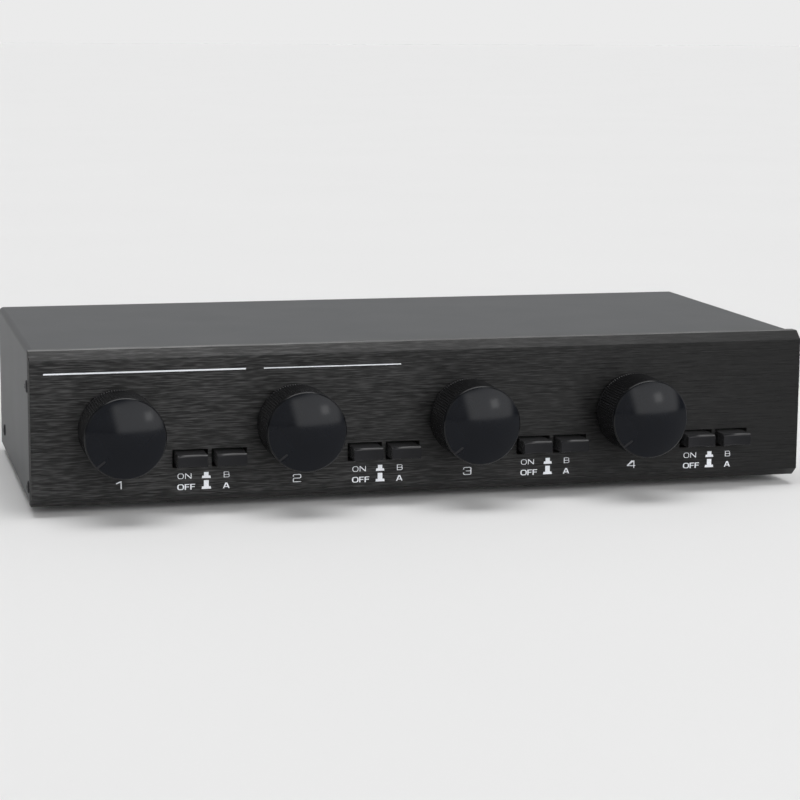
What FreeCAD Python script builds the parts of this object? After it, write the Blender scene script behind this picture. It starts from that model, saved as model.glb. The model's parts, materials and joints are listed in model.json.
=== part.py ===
"""Four-zone stereo speaker selector with a volume knob, an on/off button and an A/B button per zone.

Millimetres. +X is to the right seen from the front, +Y to the rear, +Z up. The origin is under the
middle of the whole, on the surface that the feet stand on.
"""

import FreeCAD
import Part

import math
import os

V = FreeCAD.Vector

# ---- driving dimensions -------------------------------------------------------------------------
PANEL_W, PANEL_H, PANEL_T = 430.0, 82.5, 12.0    # extruded front panel
BEVEL_H, BEVEL_D = 4.5, 5.6                      # long bevel on its top and bottom front edges
CASE_W, CASE_H, CASE_D = 429.0, 81.8, 188.0      # sheet-metal case behind the panel
SHEET = 1.2                                      # steel sheet of the cover and the tray
COVER_BEND_R = 3.0                               # outer radius of the cover's bends
FOOT_H, FOOT_R = 5.0, 9.5

ZONES = 4
ZONE_PITCH = 95.0
KNOB_X0 = 45.8                                   # first knob's axis, from the panel's left end
KNOB_HEIGHT = 40.9                               # knobs' axes above the panel's lower edge
KNOB_D = 42.8
KNOB_GAP = 1.5                                   # between the panel and the knob
KNOB_RIM = 29.5                                  # panel face to the dome's rim
DOME_H = 5.2
DOME_INSET = 0.8                                 # from the flutes' tips to the dome's edge
FLUTES = 48
FLUTE_DEPTH = 0.5
POINTER_W, POINTER_L, POINTER_DEEP = 0.9, 5.5, 0.6
POINTER_ANGLE = 225.0                            # clockwise from the top, knob turned down
SHAFT_R = 3.0
SHAFT_FLAT, FLAT_ANGLE = 2.4, 135.0              # shaft axis to its flat, and where the flat faces
RUNNING_GAP = 0.05                               # shaft in its bushing, on the radius

CAP_W, CAP_H, CAP_OUT = 16.0, 6.8, 10.0          # button cap, and how far it stands out
CAP_X = (37.9, 58.9)                             # on/off and A/B button, from the knob's axis
CAP_Z = 23.8                                     # buttons' middle above the panel's lower edge
CAP_BACK = 18.0                                  # cap's rear end behind the panel face
CAP_EDGE = 0.9                                   # bevel of the cap's front edges
DISH_R = 22.0                                    # hollow front of the cap
WINDOW_W, WINDOW_H = 18.8, 9.7
BUTTON_TRAVEL = 3.5
SWITCH_GAP = 0.35                                # plunger in its switch, each side

SIDES = 12                                       # of bushings, screw heads and their holes
BUSH_R, BUSH_LENGTH = 4.5, 8.0                   # threaded bushing of the rotary switch
NUT_T, NUT_AF = 2.4, 13.0
NUT_ROOM_R = 9.0                                 # hole through the panel for nut and bushing
PLATE_W, PLATE_H, PLATE_T = 34.0, 26.0, 1.6      # rotary switch: mounting plate, housing, contact board
HOUSING_R, HOUSING_END = 13.0, 20.0
CONTACT_R, CONTACT_T = 16.0, 1.6
SHAFT_END = 9.0                                  # shaft's end behind the sub-panel

BOARD_T = 1.6
FRONT_BOARD_BACK = 36.0                          # front board behind the panel
PUSH_BODY_W, PUSH_BODY_H, PUSH_BODY_L = 14.0, 12.0, 20.0
PLUNGER_W, PLUNGER_H = 5.0, 3.2
PLUNGER_IN_CAP, PLUNGER_IN_SWITCH = 10.0, 6.0
SPACER_R = 3.2

POLES = 4
POLE_PITCH = 7.62
HEADER_W, HEADER_H, HEADER_L = 33.0, 10.4, 14.0
HEADER_WALL, HEADER_FLOOR = 1.1, 3.0
HEADER_OUT = 1.0                                 # header's rim behind the rear wall
HEADER_ABOVE_FOOT = 45.0
HEADER_PITCH = 62.0
PIN_W, PIN_H = 1.2, 0.9
PLUG_GAP, PLUG_STOP = 0.35, 0.3                  # plug's nose in the header, and its shoulder behind it
PLUG_BODY, PLUG_UNDER, PLUG_OVER = 14.0, 6.0, 8.0
WIRE_ENTRY, WIRE_DEPTH = 3.8, 9.0
WELL, WELL_DEPTH, WELL_FROM_END = 3.9, 3.0, 7.0

CORE_W, CORE_H, CORE_T = 48.0, 40.0, 17.0        # autoformer's laminated core
LEG_W, SLOT_W, SLOT_H = 16.0, 8.0, 24.0
WINDING_OUT, WINDING_CORNER = 7.0, 4.0
STRAP_T, STRAP_FOOT = 1.0, 9.0
LOOM_W, LOOM_T, LOOM_BEND = 20.0, 1.4, 6.0

# ---- places worked out from them ----------------------------------------------------------------
KNOB_REACH = KNOB_RIM + DOME_H                   # in front of the panel face
HEADER_END = PANEL_T + CASE_D + HEADER_OUT       # rear rim of the headers, behind the panel face
PLUG_END = HEADER_END + PLUG_STOP + PLUG_BODY
FACE_Y = -(PLUG_END - KNOB_REACH) / 2            # panel's front face
PANEL_BACK = FACE_Y + PANEL_T
CASE_REAR = PANEL_BACK + CASE_D
CASE_Z = FOOT_H + 0.2                            # underside of the case
CASE_TOP = CASE_Z + CASE_H
FLOOR_Z = CASE_Z + SHEET                         # inside of the tray's bottom
KNOB_Z = FOOT_H + KNOB_HEIGHT
BUTTON_Z = FOOT_H + CAP_Z
TRAY_W = CASE_W - 2 * SHEET
SUB_BACK = PANEL_BACK + SHEET                    # rear face of the front sub-panel
REAR_IN = CASE_REAR - SHEET

KNOB_XS = [KNOB_X0 - PANEL_W / 2 + ZONE_PITCH * i for i in range(ZONES)]
BUTTON_XS = [x + dx for x in KNOB_XS for dx in CAP_X]

FRONT_BOARD_Y = PANEL_BACK + FRONT_BOARD_BACK
FRONT_BOARD_XS = (-204.0, 204.0)
FRONT_BOARD_ZS = (FLOOR_Z + 7.0, FLOOR_Z + 58.0)
SWITCH_FRONT = FRONT_BOARD_Y - PUSH_BODY_L       # front of the push switches

HEADER_Z = FOOT_H + HEADER_ABOVE_FOOT
HEADER_XS = [HEADER_PITCH * (i - 2.5) for i in range(6)]
HEADER_NAMES = ["input_plug_a", "input_plug_b"] + ["output_plug_%d" % (i + 1) for i in range(ZONES)]
HEADER_RIM_Y = FACE_Y + HEADER_END
REAR_BOARD_Y = HEADER_RIM_Y - HEADER_L           # rear face of the rear board
REAR_BOARD_XS = (-186.0, 186.0)
REAR_BOARD_ZS = (HEADER_Z - 18.0, HEADER_Z + 16.0)

COVER_SCREW_R, COVER_SCREW_HEAD, COVER_SCREW_HIGH = 1.75, 3.4, 1.4
COVER_SCREW_LENGTH = 6.0
COVER_SCREWS = [(20.0, 62.0), (20.0, 8.0), (173.0, 12.0)]      # behind the face, above the panel's foot
FRONT_SPACERS = [(x, z) for x in (-197.0, 193.0) for z in (FLOOR_Z + 17.0, FLOOR_Z + 54.0)]
REAR_SPACERS = [(x, z) for x in (-178.0, 178.0) for z in (HEADER_Z - 14.0, HEADER_Z + 12.0)]
FEET = [(x, y) for x in (-190.0, 190.0) for y in (FACE_Y + 45.0, FACE_Y + 172.0)]
AUTOFORMERS = [(x + 14.0, FACE_Y + y) for x in KNOB_XS for y in (78.0, 130.0)]


# ---- helpers ------------------------------------------------------------------------------------
def box(x0, x1, y0, y1, z0, z1):
    return Part.makeBox(x1 - x0, y1 - y0, z1 - z0, V(x0, y0, z0))


def block_y(x, z, w, h, y0, y1):
    """A block of width w and height h round the line (x, z) along Y."""
    return box(x - w / 2, x + w / 2, y0, y1, z - h / 2, z + h / 2)


def rod_y(x, z, r, y0, y1):
    return Part.makeCylinder(r, y1 - y0, V(x, y0, z), V(0, 1, 0))


def clock(angle, r=1.0):
    """The (x, z) offset at a clockwise angle from the top, seen from the front."""
    a = math.radians(angle)
    return r * math.sin(a), r * math.cos(a)


def outline_y(points, y0, y1):
    """A closed outline of (x, z) points, extruded from y0 to y1."""
    corners = [V(x, y0, z) for x, z in points]
    return Part.Face(Part.makePolygon(corners + corners[:1])).extrude(V(0, y1 - y0, 0))


def prism_y(x, z, r, sides, y0, y1):
    """A regular prism along Y, whose corners lie on the radius r."""
    corners = [clock(360.0 * i / sides + 180.0 / sides, r) for i in range(sides)]
    return outline_y([(x + dx, z + dz) for dx, dz in corners], y0, y1)


def outline_x(points, x0, x1):
    """A closed outline of (y, z) points, extruded from x0 to x1."""
    corners = [V(x0, y, z) for y, z in points]
    return Part.Face(Part.makePolygon(corners + corners[:1])).extrude(V(x1 - x0, 0, 0))


def prism_x(y, z, r, sides, x0, x1):
    """A regular prism along X, whose corners lie on the radius r."""
    corners = [clock(360.0 * i / sides + 180.0 / sides, r) for i in range(sides)]
    return outline_x([(y + dy, z + dz) for dy, dz in corners], x0, x1)


def joined(shapes):
    return shapes[0].multiFuse(shapes[1:]).removeSplitter()


def edges_along(shape, axis, keep=lambda middle: True):
    """Straight edges parallel to an axis whose middle passes the test."""
    found = []
    for e in shape.Edges:
        ends = [v.Point for v in e.Vertexes]
        if len(ends) == 2 and abs((ends[1] - ends[0]).normalize().dot(axis)) > 0.999:
            if keep((ends[0] + ends[1]) * 0.5):
                found.append(e)
    return found


def export(name, *shapes):
    shape = shapes[0] if len(shapes) == 1 else Part.makeCompound(list(shapes))
    shape.exportStep("parts/%s.step" % name)


# ---- case ---------------------------------------------------------------------------------------
def front_panel():
    """A bevelled extrusion with milled windows and holes for the switch nuts."""
    z0, z1 = FOOT_H, FOOT_H + PANEL_H
    panel = outline_x([
        (FACE_Y, z0 + BEVEL_H), (FACE_Y, z1 - BEVEL_H), (FACE_Y + BEVEL_D, z1),
        (PANEL_BACK, z1), (PANEL_BACK, z0), (FACE_Y + BEVEL_D, z0),
    ], -PANEL_W / 2, PANEL_W / 2)
    cuts = [prism_y(x, KNOB_Z, NUT_ROOM_R, SIDES, FACE_Y - 1, PANEL_BACK + 1) for x in KNOB_XS]
    for x in BUTTON_XS:
        cuts.append(block_y(x, BUTTON_Z, WINDOW_W, WINDOW_H, FACE_Y - 1, PANEL_BACK + 1))
    return panel.cut(joined(cuts))


def chassis_tray():
    """Bottom, front sub-panel and rear wall folded from one sheet, with side flanges and top lips."""
    half = TRAY_W / 2
    top = CASE_TOP - SHEET
    outer = box(-half, half, PANEL_BACK, CASE_REAR, CASE_Z, top)
    outer = outer.makeFillet(COVER_BEND_R - SHEET, edges_along(outer, V(0, 1, 0), lambda p: p.z > KNOB_Z))
    inner = box(-half + SHEET, half - SHEET, SUB_BACK, REAR_IN, FLOOR_Z, top - SHEET)
    lip, flange, returns = 11.0, 17.0, 16.0
    cuts = [
        inner,
        box(-half - 1, half + 1, SUB_BACK + lip, REAR_IN - lip, top - 2 * SHEET, top + 1),
        box(-half - 1, half + 1, SUB_BACK + returns, REAR_IN - returns, CASE_Z + flange, top + 1),
    ]
    for x in KNOB_XS:
        cuts.append(prism_y(x, KNOB_Z, BUSH_R, SIDES, PANEL_BACK - 1, SUB_BACK + 1))
    for x in BUTTON_XS:
        cuts.append(block_y(x, BUTTON_Z, WINDOW_W, WINDOW_H, PANEL_BACK - 1, SUB_BACK + 1))
    for x in HEADER_XS:
        cuts.append(block_y(x, HEADER_Z, HEADER_W, HEADER_H, REAR_IN - 1, CASE_REAR + 1))
    cuts += cover_screw_shanks(TRAY_W / 2 + 1)
    for cut in cuts:
        outer = outer.cut(cut)
    return outer


def top_cover():
    """One sheet bent to a U: the top and both sides."""
    half = CASE_W / 2
    outer = box(-half, half, PANEL_BACK, CASE_REAR, CASE_Z, CASE_TOP)
    outer = outer.makeFillet(COVER_BEND_R, edges_along(outer, V(0, 1, 0), lambda p: p.z > KNOB_Z))
    inner = box(-half + SHEET, half - SHEET, PANEL_BACK - 1, CASE_REAR + 1, CASE_Z - 1, CASE_TOP - SHEET)
    inner = inner.makeFillet(COVER_BEND_R - SHEET, edges_along(inner, V(0, 1, 0), lambda p: p.z > KNOB_Z))
    return outer.cut(joined([inner] + cover_screw_shanks(half + 1)))


def cover_screw_shanks(end):
    """The shanks on both sides, from inside the case to a distance from its middle."""
    start = CASE_W / 2 - COVER_SCREW_LENGTH
    return [prism_x(FACE_Y + y, FOOT_H + z, COVER_SCREW_R, SIDES, side * start, side * end)
            for side in (-1, 1) for y, z in COVER_SCREWS]


def cover_screws():
    """Pan head screws through the cover into the tray's flanges."""
    seat = CASE_W / 2
    heads = [prism_x(FACE_Y + y, FOOT_H + z, COVER_SCREW_HEAD, SIDES, side * seat, side * (seat + COVER_SCREW_HIGH))
             for side in (-1, 1) for y, z in COVER_SCREWS]
    return [joined([head, shank]) for head, shank in zip(heads, cover_screw_shanks(seat))]


def rubber_foot(x, y):
    return Part.makeCylinder(FOOT_R, CASE_Z, V(x, y, 0))


# ---- volume controls ----------------------------------------------------------------------------
def knob(x):
    """A turned knob: fluted round its side, domed in front, with a D bore and an engraved pointer."""
    r = KNOB_D / 2
    back, rim = FACE_Y - KNOB_GAP, FACE_Y - KNOB_RIM
    flutes = []
    for i in range(FLUTES):
        for share, radius in ((0.0, r), (0.5, r - FLUTE_DEPTH)):
            dx, dz = clock(360.0 * (i + share) / FLUTES, radius)
            flutes.append((x + dx, KNOB_Z + dz))
    drum = outline_y(flutes, rim, back)
    edge_r = r - DOME_INSET
    dome_r = (edge_r ** 2 + DOME_H ** 2) / (2 * DOME_H)
    centre_y = rim - DOME_H + dome_r
    dome = Part.makeSphere(dome_r, V(x, centre_y, KNOB_Z))
    dome = dome.common(rod_y(x, KNOB_Z, edge_r, rim - DOME_H - 1, rim + 1))
    pointer = block_y(0, 1, POINTER_W, POINTER_L + 2, -POINTER_DEEP - dome_r, POINTER_DEEP - dome_r)
    pointer.rotate(V(0, 0, 0), V(1, 0, 0), -math.degrees(math.asin((edge_r - POINTER_L / 2) / dome_r)))
    pointer.rotate(V(0, 0, 0), V(0, 1, 0), POINTER_ANGLE)
    pointer.translate(V(x, centre_y, KNOB_Z))
    return joined([drum, dome]).cut(shaft_tip(x)).cut(pointer)


def shaft_tip(x):
    """The shaft's end inside the knob: round with one flat."""
    tip = rod_y(x, KNOB_Z, SHAFT_R, FACE_Y - 20.0, FACE_Y - KNOB_GAP)
    away = box(-SHAFT_R, SHAFT_R, FACE_Y - 21.0, FACE_Y, SHAFT_FLAT, SHAFT_R + 1)
    away.rotate(V(0, 0, 0), V(0, 1, 0), FLAT_ANGLE)
    away.translate(V(x, 0, KNOB_Z))
    return tip.cut(away)


def shaft(x):
    return joined([shaft_tip(x), rod_y(x, KNOB_Z, SHAFT_R, FACE_Y - KNOB_GAP, SUB_BACK + SHAFT_END)])


def rotary_switch(x):
    """Mounting plate with a threaded bushing and its nut, stepped-contact housing and contact board."""
    body = joined([
        block_y(x, KNOB_Z, PLATE_W, PLATE_H, SUB_BACK, SUB_BACK + PLATE_T),
        prism_y(x, KNOB_Z, HOUSING_R, 8, SUB_BACK + PLATE_T, SUB_BACK + HOUSING_END),
        prism_y(x, KNOB_Z, CONTACT_R, SIDES, SUB_BACK + HOUSING_END, SUB_BACK + HOUSING_END + CONTACT_T),
        prism_y(x, KNOB_Z, BUSH_R, SIDES, SUB_BACK - BUSH_LENGTH, SUB_BACK),
        prism_y(x, KNOB_Z, NUT_AF / math.sqrt(3), 6, PANEL_BACK - NUT_T, PANEL_BACK),
    ])
    return body.cut(rod_y(x, KNOB_Z, SHAFT_R + RUNNING_GAP, SUB_BACK - BUSH_LENGTH - 1, SUB_BACK + SHAFT_END + 0.5))


# ---- push buttons -------------------------------------------------------------------------------
def button_cap(x):
    """A rectangular cap with bevelled front edges and a hollow front, with a socket for its plunger."""
    front, back = FACE_Y - CAP_OUT, FACE_Y + CAP_BACK
    low, high = BUTTON_Z - CAP_H / 2, BUTTON_Z + CAP_H / 2
    cap = outline_x([
        (front, low + CAP_EDGE), (front, high - CAP_EDGE), (front + CAP_EDGE, high),
        (back, high), (back, low), (front + CAP_EDGE, low),
    ], x - CAP_W / 2, x + CAP_W / 2)
    sagitta = DISH_R - math.sqrt(DISH_R ** 2 - (CAP_W / 2) ** 2)
    dish = Part.makeCylinder(DISH_R, CAP_H + 2, V(x, front + sagitta - DISH_R, low - 1))
    socket = block_y(x, BUTTON_Z, PLUNGER_W, PLUNGER_H, back - PLUNGER_IN_CAP, back + 1)
    return cap.cut(dish).cut(socket)


def plunger(x):
    return block_y(x, BUTTON_Z, PLUNGER_W, PLUNGER_H,
                   FACE_Y + CAP_BACK - PLUNGER_IN_CAP, SWITCH_FRONT + PLUNGER_IN_SWITCH)


def push_switch_body(x):
    """A latching switch: a block with a collar in front and a socket for the plunger."""
    body = joined([
        block_y(x, BUTTON_Z, PUSH_BODY_W, PUSH_BODY_H, SWITCH_FRONT, FRONT_BOARD_Y),
        block_y(x, BUTTON_Z, PLUNGER_W + 3, PLUNGER_H + 3, SWITCH_FRONT - 2.0, SWITCH_FRONT),
    ])
    return body.cut(block_y(x, BUTTON_Z, PLUNGER_W + 2 * SWITCH_GAP, PLUNGER_H + 2 * SWITCH_GAP,
                            SWITCH_FRONT - 3.0, SWITCH_FRONT + PLUNGER_IN_SWITCH + BUTTON_TRAVEL + 1.0))


# ---- boards, autoformers and looms --------------------------------------------------------------
def front_board():
    return box(*FRONT_BOARD_XS, FRONT_BOARD_Y, FRONT_BOARD_Y + BOARD_T, *FRONT_BOARD_ZS)


def rear_board():
    return box(*REAR_BOARD_XS, REAR_BOARD_Y - BOARD_T, REAR_BOARD_Y, *REAR_BOARD_ZS)


def board_spacers():
    """Hexagonal posts between the walls and the boards."""
    front = [prism_y(x, z, SPACER_R, 6, SUB_BACK, FRONT_BOARD_Y) for x, z in FRONT_SPACERS]
    return front + [prism_y(x, z, SPACER_R, 6, REAR_BOARD_Y, REAR_IN) for x, z in REAR_SPACERS]


def core(x, y):
    """A laminated E-I core: outer frame and centre leg round two slots."""
    z = FLOOR_Z + CORE_H / 2
    block = block_y(x, z, CORE_W, CORE_H, y - CORE_T / 2, y + CORE_T / 2)
    for side in (-1, 1):
        middle = x + side * (LEG_W + SLOT_W) / 2
        block = block.cut(block_y(middle, z, SLOT_W, SLOT_H, y - CORE_T, y + CORE_T))
    return block


def winding(x, y):
    """The coil round the centre leg, with its corners cut where it leaves the core."""
    z = FLOOR_Z + CORE_H / 2
    width, depth = LEG_W + 2 * SLOT_W, CORE_T / 2 + WINDING_OUT
    coil = block_y(x, z, width, SLOT_H, y - depth, y + depth)
    coil = coil.makeChamfer(WINDING_CORNER, edges_along(coil, V(0, 0, 1)))
    return coil.cut(block_y(x, z, LEG_W, SLOT_H + 2, y - CORE_T / 2, y + CORE_T / 2))


def bracket(x, y):
    """A strap over the core, with a foot each side on the tray's bottom."""
    half, low, top = CORE_W / 2, FLOOR_Z, FLOOR_Z + CORE_H
    right = [(half + STRAP_T, top + STRAP_T), (half + STRAP_T, low + STRAP_T), (half + STRAP_FOOT, low + STRAP_T),
             (half + STRAP_FOOT, low), (half, low), (half, top)]
    left = [(-dx, z) for dx, z in reversed(right)]
    return outline_y([(x + dx, z) for dx, z in right + left], y - CORE_T / 2, y + CORE_T / 2)


def loom(x):
    """A flat wire loom: up from the front board, over the autoformers and down to the rear board."""
    low, high = FLOOR_Z + 50.0, FLOOR_Z + 66.0
    y0, y1 = FRONT_BOARD_Y + BOARD_T, REAR_BOARD_Y - BOARD_T
    outer = box(x, x + LOOM_W, y0, y1, low, high)
    inner = box(x - 1, x + LOOM_W + 1, y0 + LOOM_T, y1 - LOOM_T, low - 1, high - LOOM_T)
    bends = [shape.makeChamfer(size, edges_along(shape, V(1, 0, 0), lambda p: p.z > low + 1))
             for shape, size in ((outer, LOOM_BEND), (inner, LOOM_BEND - LOOM_T / 2))]
    return bends[0].cut(bends[1])


# ---- rear terminals -----------------------------------------------------------------------------
def pole_xs(x):
    return [x + POLE_PITCH * (i - (POLES - 1) / 2) for i in range(POLES)]


def terminal_header(x):
    """An open box with one pin per pole, standing through the rear wall."""
    floor = REAR_BOARD_Y + HEADER_FLOOR
    shell = block_y(x, HEADER_Z, HEADER_W, HEADER_H, REAR_BOARD_Y, HEADER_RIM_Y)
    cavity = block_y(x, HEADER_Z, HEADER_W - 2 * HEADER_WALL, HEADER_H - 2 * HEADER_WALL, floor, HEADER_RIM_Y + 1)
    pins = [block_y(px, HEADER_Z, PIN_W, PIN_H, floor, HEADER_RIM_Y - 2.5) for px in pole_xs(x)]
    return joined([shell.cut(cavity)] + pins)


def terminal_plug(x):
    """A pull-out block: a nose for the header, wire entries behind and clamp screw wells on top."""
    nose_w, nose_h = (size - 2 * (HEADER_WALL + PLUG_GAP) for size in (HEADER_W, HEADER_H))
    stop, end = HEADER_RIM_Y + PLUG_STOP, FACE_Y + PLUG_END
    nose = block_y(x, HEADER_Z, nose_w, nose_h, REAR_BOARD_Y + HEADER_FLOOR + 1.0, stop)
    low, high = HEADER_Z - PLUG_UNDER, HEADER_Z + PLUG_OVER
    body = box(x - nose_w / 2, x + nose_w / 2, stop, end, low, high)
    body = body.makeChamfer(1.2, edges_along(body, V(1, 0, 0), lambda p: p.y > stop + 1))
    slot_w = POLE_PITCH * (POLES - 1) + PIN_W + 1.2
    cuts = [block_y(x, HEADER_Z, slot_w, PIN_H + 1.2, REAR_BOARD_Y, HEADER_RIM_Y - 1.5)]
    for px in pole_xs(x):
        cuts.append(block_y(px, HEADER_Z, WIRE_ENTRY, WIRE_ENTRY, end - WIRE_DEPTH, end + 1))
        cuts.append(box(px - WELL / 2, px + WELL / 2, end - WELL_FROM_END - WELL / 2,
                        end - WELL_FROM_END + WELL / 2, high - WELL_DEPTH, high + 1))
    return body.fuse(nose).cut(joined(cuts))


# ---- all pieces ---------------------------------------------------------------------------------
def main():
    os.makedirs("parts", exist_ok=True)
    export("front_panel", front_panel())
    export("chassis_tray", chassis_tray())
    export("top_cover", top_cover())
    export("cover_screws", *cover_screws())
    export("rubber_feet", *[rubber_foot(x, y) for x, y in FEET])
    for i, x in enumerate(KNOB_XS, 1):
        export("knob_%d" % i, knob(x))
        export("shaft_%d" % i, shaft(x))
        for name, dx in zip(("on_off", "a_b"), CAP_X):
            export("%s_button_%d" % (name, i), button_cap(x + dx))
            export("%s_plunger_%d" % (name, i), plunger(x + dx))
    export("rotary_switches", *[rotary_switch(x) for x in KNOB_XS])
    export("push_switch_bodies", *[push_switch_body(x) for x in BUTTON_XS])
    export("front_board", front_board())
    export("rear_board", rear_board())
    export("board_spacers", *board_spacers())
    export("autoformer_cores", *[core(x, y) for x, y in AUTOFORMERS])
    export("autoformer_windings", *[winding(x, y) for x, y in AUTOFORMERS])
    export("autoformer_brackets", *[bracket(x, y) for x, y in AUTOFORMERS])
    export("wire_looms", *[loom(x) for x in KNOB_XS])
    export("terminal_headers", *[terminal_header(x) for x in HEADER_XS])
    for name, x in zip(HEADER_NAMES, HEADER_XS):
        export(name, terminal_plug(x))


main()
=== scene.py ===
"""Looks of the four-zone speaker selector: finishes, knobs, caps, legends, screws, feet and studio.

Metres. +X is to the right seen from the front, +Y to the rear, +Z up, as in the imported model.
"""

import json
import math

import bmesh
import bpy
from mathutils import Matrix, Vector


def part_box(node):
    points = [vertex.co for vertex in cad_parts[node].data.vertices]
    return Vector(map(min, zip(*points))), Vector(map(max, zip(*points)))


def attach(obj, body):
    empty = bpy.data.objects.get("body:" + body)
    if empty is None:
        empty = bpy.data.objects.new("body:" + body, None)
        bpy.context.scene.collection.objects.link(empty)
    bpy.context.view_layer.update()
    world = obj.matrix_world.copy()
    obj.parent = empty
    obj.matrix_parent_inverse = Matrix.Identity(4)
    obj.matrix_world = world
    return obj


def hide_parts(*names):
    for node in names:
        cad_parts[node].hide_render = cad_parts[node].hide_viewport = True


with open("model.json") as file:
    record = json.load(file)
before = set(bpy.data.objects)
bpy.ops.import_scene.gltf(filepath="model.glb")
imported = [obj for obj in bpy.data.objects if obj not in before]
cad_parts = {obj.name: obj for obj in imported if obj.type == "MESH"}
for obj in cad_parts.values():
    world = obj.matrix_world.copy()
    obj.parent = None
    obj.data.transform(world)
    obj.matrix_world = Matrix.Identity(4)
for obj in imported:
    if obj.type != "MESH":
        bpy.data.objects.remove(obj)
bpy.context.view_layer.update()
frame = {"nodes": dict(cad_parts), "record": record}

# ---- places, from the frame ---------------------------------------------------------------------
MM = 0.001
ZONES = (1, 2, 3, 4)
PANEL_LOW, PANEL_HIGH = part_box("front_panel")
COVER_LOW, COVER_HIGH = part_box("top_cover")
FACE_Y = PANEL_LOW.y
ZONE_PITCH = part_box("knob_2")[0].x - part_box("knob_1")[0].x
PLUGS = ["input_plug_a", "input_plug_b"] + ["output_plug_%d" % i for i in ZONES]

# ---- sizes, in millimetres ----------------------------------------------------------------------
FLUTES, SAMPLES_PER_FLUTE, FLUTE_DEPTH = 96, 6, 0.55
DOME_H, RIM_R = 5.2, 0.9                 # dome's height, and the rounding of its rim
DOME_FINE = 1.0                          # the dome's outer band, where its rings close up
BORE_R, BORE_DEEP = 3.0, 18.5
AXIS_R = 0.02                            # where a turned profile starts and ends, all but on its axis
POINTER_W, POINTER_L, POINTER_DEEP, POINTER_ANGLE = 1.5, 5.5, 0.45, 225.0
POINTER_FILL = 0.28                      # the paint's surface below the dome's
SET_SCREW_R, SET_SCREW_BACK, SET_SCREW_ANGLE = 1.5, 6.5, 135.0
SET_SCREW_SPAN = (2.6, 7.4)              # its ends, from the knob's axis
HEX_SOCKET_R, HEX_SOCKET_DEEP = 0.87, 1.6

CAP_EDGE, DISH_R = 0.9, 22.0             # bevel of a cap's front edges, and radius of its hollow front
CAP_ROUND, CAP_STATIONS = 0.22, 28
SHEET_ROUND, PANEL_ROUND, MOULD_ROUND = 0.22, 0.18, 0.15

INK_T = 0.03                             # thickness of the printed legends
FINE, BOLD = (0.36, 0.25), (0.70, 0.42)  # stems and bars of the lighter and heavier lettering
DIGIT_H, DIGIT_STROKE = 4.25, (0.52, 0.34)
ON_H, BOLD_H = 2.9, 3.05                 # height of ON, and of OFF, A and B
SYMBOL_BASE = (1.38,)                    # height of the wide base in a button symbol
TITLE_RULE, SECOND_RULE = (106.6, 0.8, 7.2, 70.6), (75.0, 0.55, 123.5, 70.7)    # wide, high, x and z

COVER_SCREWS = [(20.0, 62.0), (20.0, 8.0), (173.0, 12.0)]   # behind the face, above the panel's foot
COVER_SCREW_HEAD = (3.4, 1.35)           # radius and height, as for the two below
REAR_SCREW_HEAD, FOOT_SCREW_HEAD = (2.9, 1.7), (3.4, 1.9)
REAR_SCREWS = [(x, z) for x in (-178.0, 178.0) for z in (36.0, 62.0)]
FOOT_R, FOOT_TAPER = 9.5, 1.1
FOOT_RECESS_R, FOOT_RECESS_DEEP, FOOT_RECESS_ROUND, FOOT_ROUND = 4.4, 2.6, 0.35, 0.6
WIRE_PITCH, CLAMP_FROM_END, CLAMP_DEEP = 7.62, 7.0, 3.0         # clamp screws in a plug
CLAMP_SCREW_HEAD, CLAMP_SLOT_W, CLAMP_SLOT_DEEP = (1.7, 1.0), 0.56, 0.55

CREASE_ANGLE = 34.0                      # faces that meet at more than this many degrees show an edge


# ---- shader helpers -----------------------------------------------------------------------------
class Finish:
    """A node material: a principled shader with helpers for patterns in object coordinates."""

    def __init__(self, name, **sockets):
        self.material = bpy.data.materials.new(name)
        self.material.use_nodes = True
        self.tree = self.material.node_tree
        self.shader = self.tree.nodes["Principled BSDF"]
        for socket, value in sockets.items():
            self.shader.inputs[socket.replace("_", " ")].default_value = value
        self.place = self.tree.nodes.new("ShaderNodeTexCoord").outputs["Object"]

    def node(self, kind, inputs=(), **settings):
        made = self.tree.nodes.new("ShaderNode" + kind)
        for key, value in settings.items():
            setattr(made, key, value)
        for socket, value in dict(inputs).items():
            if isinstance(value, bpy.types.NodeSocket):
                self.tree.links.new(value, made.inputs[socket])
            else:
                made.inputs[socket].default_value = value
        return made

    def scaled(self, scale):
        """Object coordinates times (x, y, z), so that a pattern can be long one way."""
        return self.node("Mapping", {"Vector": self.place, "Scale": scale}).outputs["Vector"]

    def noise(self, scale, detail=4.0, roughness=0.55):
        found = self.node("TexNoise", {"Vector": self.scaled(scale), "Scale": 1.0, "Detail": detail,
                                       "Roughness": roughness})
        return found.outputs["Fac"]

    def blend(self, factor, low, high, start=0.3, end=0.7):
        """A colour or grey that runs from low to high as the factor goes from start to end."""
        ramp = self.node("ValToRGB", {"Fac": factor})
        stops = ramp.color_ramp.elements
        stops[0].position, stops[0].color = start, (*low, 1.0)
        stops[1].position, stops[1].color = end, (*high, 1.0)
        return ramp.outputs["Color"]

    def share(self, factor, low, high, start=0.3, end=0.7):
        span = self.node("MapRange", {"Value": factor, "From Min": start, "From Max": end,
                                      "To Min": low, "To Max": high})
        return span.outputs["Result"]

    def added(self, a, b, share):
        """The sum of colour a and a share of colour b."""
        mixed = self.node("Mix", {"Factor": share, "A": a, "B": b}, data_type="RGBA", blend_type="ADD")
        return mixed.outputs["Result"]

    def colour(self, socket):
        self.tree.links.new(socket, self.shader.inputs["Base Color"])

    def rough(self, socket):
        self.tree.links.new(socket, self.shader.inputs["Roughness"])

    def relief(self, height, strength, distance):
        bump = self.node("Bump", {"Height": height, "Strength": strength, "Distance": distance})
        self.tree.links.new(bump.outputs["Normal"], self.shader.inputs["Normal"])


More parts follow.
